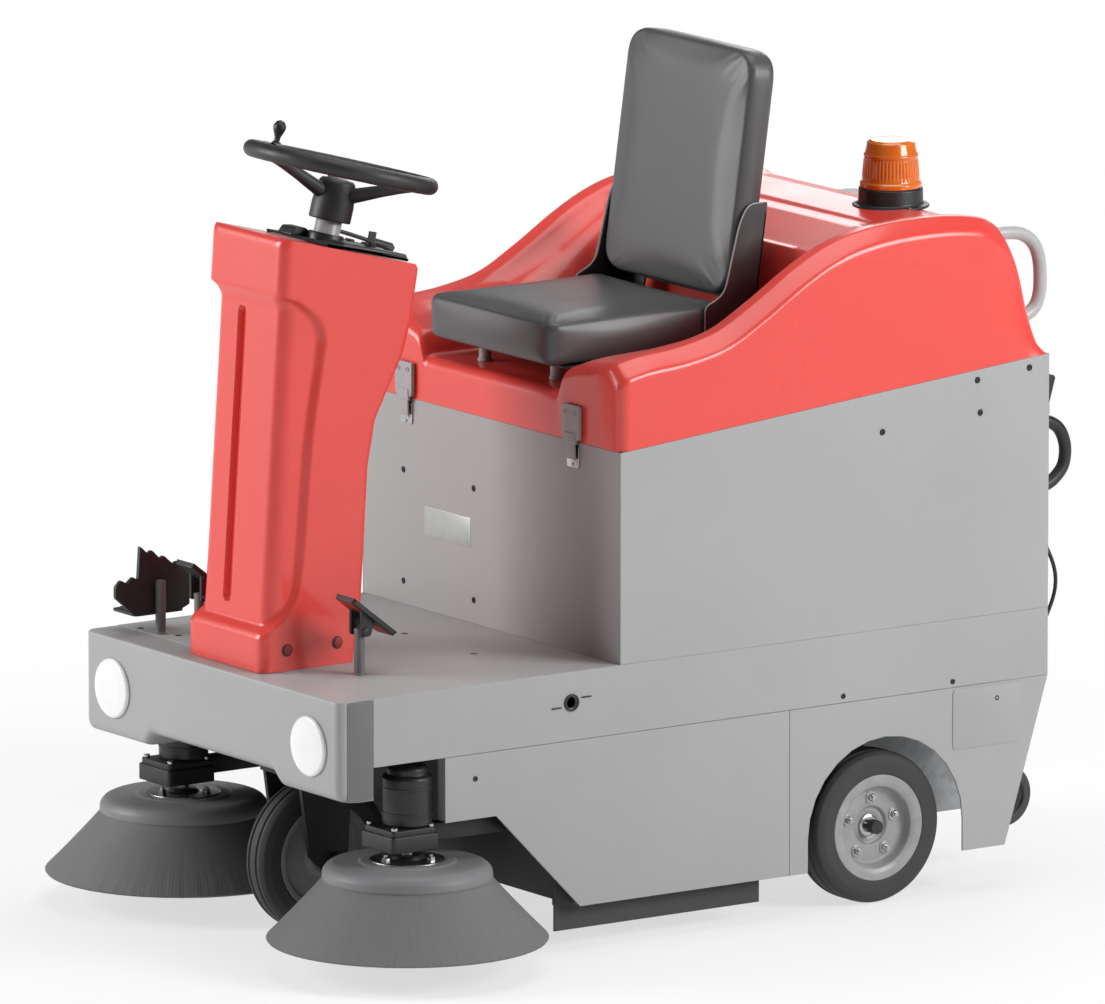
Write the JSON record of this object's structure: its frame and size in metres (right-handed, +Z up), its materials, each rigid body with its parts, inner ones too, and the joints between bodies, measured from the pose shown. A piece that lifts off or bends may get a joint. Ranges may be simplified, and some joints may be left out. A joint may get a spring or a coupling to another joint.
{
  "type": "ride-on sweeper",
  "caption": "Electric ride-on floor sweeper with side brushes, steering column, rear dust tray and a tilting hood that carries the seat and beacon.",
  "frame": {"origin": "middle of the bounding box on the floor", "axes": "+X to the driver's left, +Y to the rear, +Z up"},
  "size_m": [1.123, 1.605, 1.4379],
  "materials": {
    "grey_paint": "satin light grey powder coat",
    "red_plastic": "glossy coral red moulded plastic",
    "black_steel": "satin black paint",
    "black_plastic": "fine textured black plastic",
    "tyre": "solid black rubber",
    "rubber": "matt black rubber",
    "vinyl": "grained black vinyl",
    "bristle": "dark grey nylon bristle",
    "bright_steel": "bright zinc plated steel",
    "galvanised": "dull galvanised steel",
    "amber": "amber polycarbonate lens",
    "white_lens": "clear ribbed lamp lens"
  },
  "bodies": {
    "chassis": {"chassis_frame": "black_steel", "front_bumper": "grey_paint", "deck_plate": "grey_paint", "side_strip_left": "grey_paint", "side_strip_right": "grey_paint", "front_skirt_left": "grey_paint", "front_skirt_right": "grey_paint", "rear_skirt_left": "grey_paint", "rear_skirt_right": "grey_paint", "body_front_panel": "grey_paint", "body_side_left": "grey_paint", "body_side_right": "grey_paint", "body_rear_panel": "grey_paint", "headlamp_left": "white_lens", "headlamp_right": "white_lens", "column_cover": "red_plastic", "column_post": "bright_steel", "console_panel": "black_plastic", "broom_housing": "black_steel", "side_flap_left": "rubber", "side_flap_right": "rubber", "battery_pack": "black_plastic", "filter_fan": "galvanised", "rear_handle": "black_plastic", "rear_lead": "black_plastic", "hood_hinge": "bright_steel", "latch_catch_left": "bright_steel", "latch_catch_right": "bright_steel"},
    "hood": {"hood_shell": "red_plastic", "hood_handle_left": "galvanised", "hood_handle_right": "galvanised", "seat_bracket": "black_steel", "seat_cushion": "vinyl", "back_cushion": "vinyl", "beacon_base": "black_plastic", "beacon_lens": "amber"},
    "latch_left": {"latch_lever_left": "bright_steel"},
    "latch_right": {"latch_lever_right": "bright_steel"},
    "fork": {"front_fork": "black_steel"},
    "front_wheel": {"front_wheel": "tyre"},
    "steering": {"steering_wheel": "black_plastic"},
    "spinner": {"spinner_knob": "black_plastic"},
    "wheel_left": {"rear_wheel_left": "tyre"},
    "wheel_right": {"rear_wheel_right": "tyre"},
    "arm_left": {"brush_arm_left": "black_steel", "brush_motor_left": "black_plastic"},
    "arm_right": {"brush_arm_right": "black_steel", "brush_motor_right": "black_plastic"},
    "brush_left": {"side_brush_left": "bristle"},
    "brush_right": {"side_brush_right": "bristle"},
    "broom": {"main_broom": "bristle"},
    "hopper": {"dust_hopper": "galvanised"},
    "caster_left": {"hopper_caster_left": "rubber"},
    "caster_right": {"hopper_caster_right": "rubber"},
    "accelerator": {"accelerator_pedal": "black_plastic"},
    "brake": {"brake_pedal": "black_plastic"},
    "flap_lift": {"flap_pedal": "black_steel"},
    "key": {"key_switch": "bright_steel"},
    "lever": {"lift_lever": "black_plastic"},
    "lock_lever": {"hopper_lever": "black_steel"}
  },
  "joints": [
    {"name": "hood_hinge", "type": "hinge", "parent": "chassis", "child": "hood", "pos_m": [0, 0.7105, 0.917], "axis": [-1, 0, 0], "range_deg": [0, 55]},
    {"name": "latch_left", "type": "hinge", "parent": "hood", "child": "latch_left", "pos_m": [0.246, -0.1863, 0.889], "axis": [-1, 0, 0], "range_deg": [0, 90]},
    {"name": "latch_right", "type": "hinge", "parent": "hood", "child": "latch_right", "pos_m": [-0.246, -0.1863, 0.889], "axis": [-1, 0, 0], "range_deg": [0, 90]},
    {"name": "steer", "type": "hinge", "parent": "chassis", "child": "fork", "pos_m": [0, -0.557, 0.4], "axis": [0, 0, 1], "range_deg": [-45, 45]},
    {"name": "front_axle", "type": "hinge", "parent": "fork", "child": "front_wheel", "pos_m": [0, -0.53, 0.13], "axis": [1, 0, 0], "continuous": true},
    {"name": "steering_column", "type": "hinge", "parent": "chassis", "child": "steering", "pos_m": [0, -0.479, 1.287], "axis": [0, 0.2588, 0.9659], "range_deg": [-135, 135]},
    {"name": "knob_spin", "type": "hinge", "parent": "steering", "child": "spinner", "pos_m": [-0.13457, -0.51766, 1.31165], "axis": [0, 0.2588, 0.9659], "continuous": true},
    {"name": "rear_axle_left", "type": "hinge", "parent": "chassis", "child": "wheel_left", "pos_m": [0.326, 0.364, 0.13], "axis": [1, 0, 0], "continuous": true},
    {"name": "rear_axle_right", "type": "hinge", "parent": "chassis", "child": "wheel_right", "pos_m": [-0.326, 0.364, 0.13], "axis": [1, 0, 0], "continuous": true},
    {"name": "brush_lift_left", "type": "hinge", "parent": "chassis", "child": "arm_left", "pos_m": [0.334, -0.34, 0.3], "axis": [1, 0, 0], "range_deg": [0, 6]},
    {"name": "brush_lift_right", "type": "hinge", "parent": "chassis", "child": "arm_right", "pos_m": [-0.334, -0.34, 0.3], "axis": [1, 0, 0], "range_deg": [0, 6]},
    {"name": "brush_spin_left", "type": "hinge", "parent": "arm_left", "child": "brush_left", "pos_m": [0.334, -0.575, 0.15], "axis": [0, 0, 1], "continuous": true},
    {"name": "brush_spin_right", "type": "hinge", "parent": "arm_right", "child": "brush_right", "pos_m": [-0.334, -0.575, 0.15], "axis": [0, 0, 1], "continuous": true},
    {"name": "broom_spin", "type": "hinge", "parent": "chassis", "child": "broom", "pos_m": [0, -0.082, 0.154], "axis": [1, 0, 0], "continuous": true},
    {"name": "hopper_slide", "type": "slide", "parent": "chassis", "child": "hopper", "axis": [0, 1, 0], "range_m": [0, 0.45]},
    {"name": "caster_left", "type": "hinge", "parent": "hopper", "child": "caster_left", "pos_m": [0.232, 0.716, 0.123], "axis": [1, 0, 0], "continuous": true},
    {"name": "caster_right", "type": "hinge", "parent": "hopper", "child": "caster_right", "pos_m": [-0.232, 0.716, 0.123], "axis": [1, 0, 0], "continuous": true},
    {"name": "accelerator_pivot", "type": "hinge", "parent": "chassis", "child": "accelerator", "pos_m": [-0.15, -0.664, 0.56], "axis": [1, 0, 0], "range_deg": [0, 12], "stiffness_Nm_per_rad": 6, "springref_deg": -5.73},
    {"name": "brake_pivot", "type": "hinge", "parent": "chassis", "child": "brake", "pos_m": [0.2, -0.579, 0.548], "axis": [1, 0, 0], "range_deg": [0, 12], "stiffness_Nm_per_rad": 6, "springref_deg": -5.73},
    {"name": "flap_pivot", "type": "hinge", "parent": "chassis", "child": "flap_lift", "pos_m": [-0.29, -0.656, 0.56], "axis": [1, 0, 0], "range_deg": [0, 15], "stiffness_Nm_per_rad": 6, "springref_deg": -5.73},
    {"name": "key_turn", "type": "hinge", "parent": "chassis", "child": "key", "pos_m": [0.055, -0.45845, 1.15652], "axis": [0, 0.2238, 0.9746], "range_deg": [0, 90]},
    {"name": "lever_lift", "type": "hinge", "parent": "chassis", "child": "lever", "pos_m": [-0.0965, -0.452, 1.17171], "axis": [1, 0, 0], "range_deg": [0, 25]},
    {"name": "lock_lever_pivot", "type": "hinge", "parent": "chassis", "child": "lock_lever", "pos_m": [0.345, 0.7105, 0.808], "axis": [-1, 0, 0], "range_deg": [0, 40]}
  ],
  "couplings": [
    {"joint": "steering_column", "follows": "steer", "ratio": 3},
    {"joint": "brush_lift_right", "follows": "brush_lift_left", "ratio": 1},
    {"joint": "lever_lift", "follows": "brush_lift_left", "ratio": 4}
  ]
}
